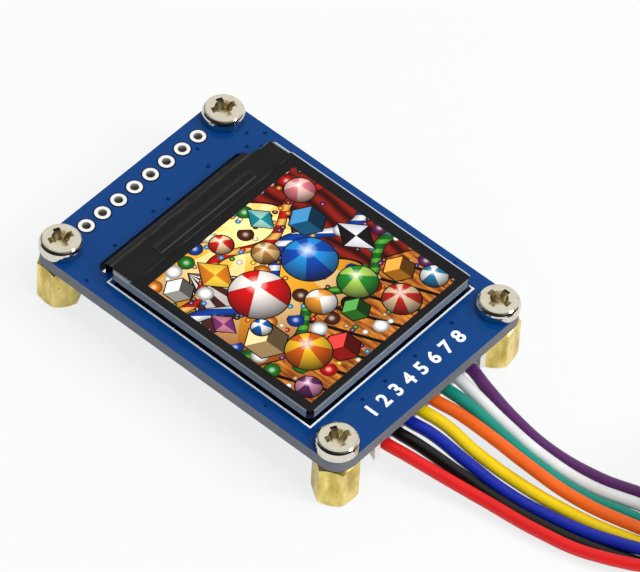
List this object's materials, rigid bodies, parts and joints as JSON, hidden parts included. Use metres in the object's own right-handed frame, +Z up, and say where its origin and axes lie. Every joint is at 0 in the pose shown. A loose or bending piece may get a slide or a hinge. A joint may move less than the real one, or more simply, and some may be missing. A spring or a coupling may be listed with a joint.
{
  "type": "tft display module",
  "caption": "Small colour display panel on a blue circuit board with screwed brass standoffs and a side wire plug with a short loom of loose wires.",
  "frame": {"origin": "centre of the board's outline, on the surface that the standoffs stand on", "axes": "+Z up through the board towards the viewer of the screen, +Y along the board's length from the wire connector towards the row of plated holes, +X across the board"},
  "size_m": [0.0422, 0.1184, 0.0144],
  "materials": {
    "pcb": "gloss",
    "solder": "satin",
    "screw": "gloss",
    "standoff": "gloss",
    "tape": "satin",
    "film": "satin",
    "frame": "satin",
    "glass": "gloss",
    "screen": "gloss",
    "led": "gloss",
    "chip": "satin",
    "flex": "satin",
    "connector": "satin",
    "contact": "satin",
    "ic": "matte",
    "ceramic": "matte",
    "wire_red": "satin",
    "wire_black": "satin",
    "wire_blue": "satin",
    "wire_yellow": "satin",
    "wire_orange": "satin",
    "wire_green": "satin",
    "wire_white": "satin",
    "wire_purple": "satin",
    "socket": "satin",
    "tie": "matte"
  },
  "bodies": {
    "root": {"pcb": "pcb", "header_pads": "solder", "corner_screws": "screw", "standoffs": "standoff", "foam_tape": "tape", "backlight_frame": "frame", "reflector_sheet": "film", "light_guide": "film", "led_strip": "flex", "backlight_leds": "led", "diffuser_film": "film", "rim_tape": "tape", "rear_polariser": "screen", "rear_glass": "glass", "cell_seal": "tape", "picture_cell": "screen", "front_glass": "glass", "front_polariser": "screen", "driver_chip": "chip", "shield_tape": "tape", "flex_tail": "flex", "header_housing": "connector", "header_pins": "contact", "header_tabs": "contact", "plug_housing": "connector", "plug_contacts": "contact", "regulator": "ic", "transistor": "ic", "resistors": "ic", "capacitors": "ceramic", "wire_1": "wire_red", "wire_2": "wire_black", "wire_3": "wire_blue", "wire_4": "wire_yellow", "wire_5": "wire_orange", "wire_6": "wire_green", "wire_7": "wire_white", "wire_8": "wire_purple", "socket_1": "socket", "socket_2": "socket", "socket_3": "socket", "socket_4": "socket", "socket_5": "socket", "socket_6": "socket", "socket_7": "socket", "socket_8": "socket", "socket_contacts": "contact", "wire_coil": "wire_purple", "coil_tie": "tie"}
  },
  "joints": []
}
